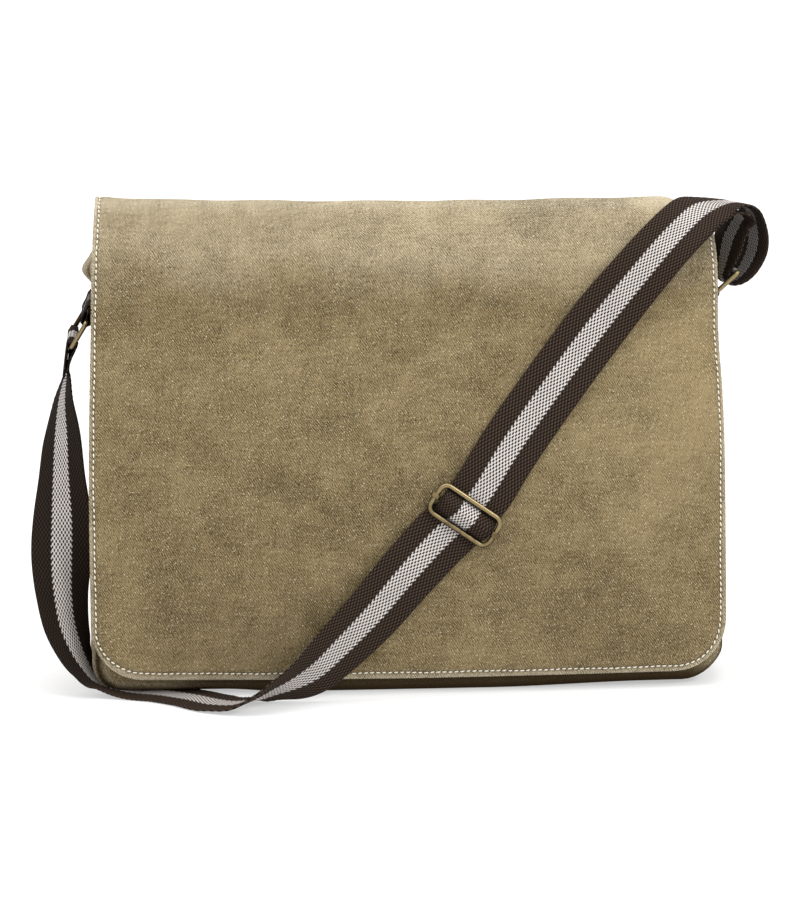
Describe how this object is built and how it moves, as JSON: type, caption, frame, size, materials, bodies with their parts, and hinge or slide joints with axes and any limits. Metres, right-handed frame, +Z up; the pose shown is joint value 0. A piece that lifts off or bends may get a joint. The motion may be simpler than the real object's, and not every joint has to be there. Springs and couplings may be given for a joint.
{
  "type": "canvas dispatch bag",
  "caption": "Washed canvas dispatch bag standing upright, with a full front flap and a striped webbing shoulder strap held by brass wire rings and a slider.",
  "frame": {"origin": "middle of the flat underside of the bag, on the surface it stands on", "axes": "+X to the right of a person who looks at the flap, +Y from the flap to the back, +Z up"},
  "size_m": [0.468, 0.1685, 0.3087],
  "materials": {
    "canvas": "washed matt twill canvas in olive khaki, with pale stitching",
    "webbing": "matt woven webbing, dark brown with an off-white middle stripe",
    "brass": "antique brass, worn and softly shiny"
  },
  "bodies": {
    "root": {"front_panel": "canvas", "back_panel": "canvas", "gusset": "canvas", "flap": "canvas", "ring_tab_left": "webbing", "ring_tab_right": "webbing", "strap": "webbing", "ring_left": "brass", "ring_right": "brass", "slider_frame": "brass", "slider_bar": "brass"}
  },
  "joints": []
}
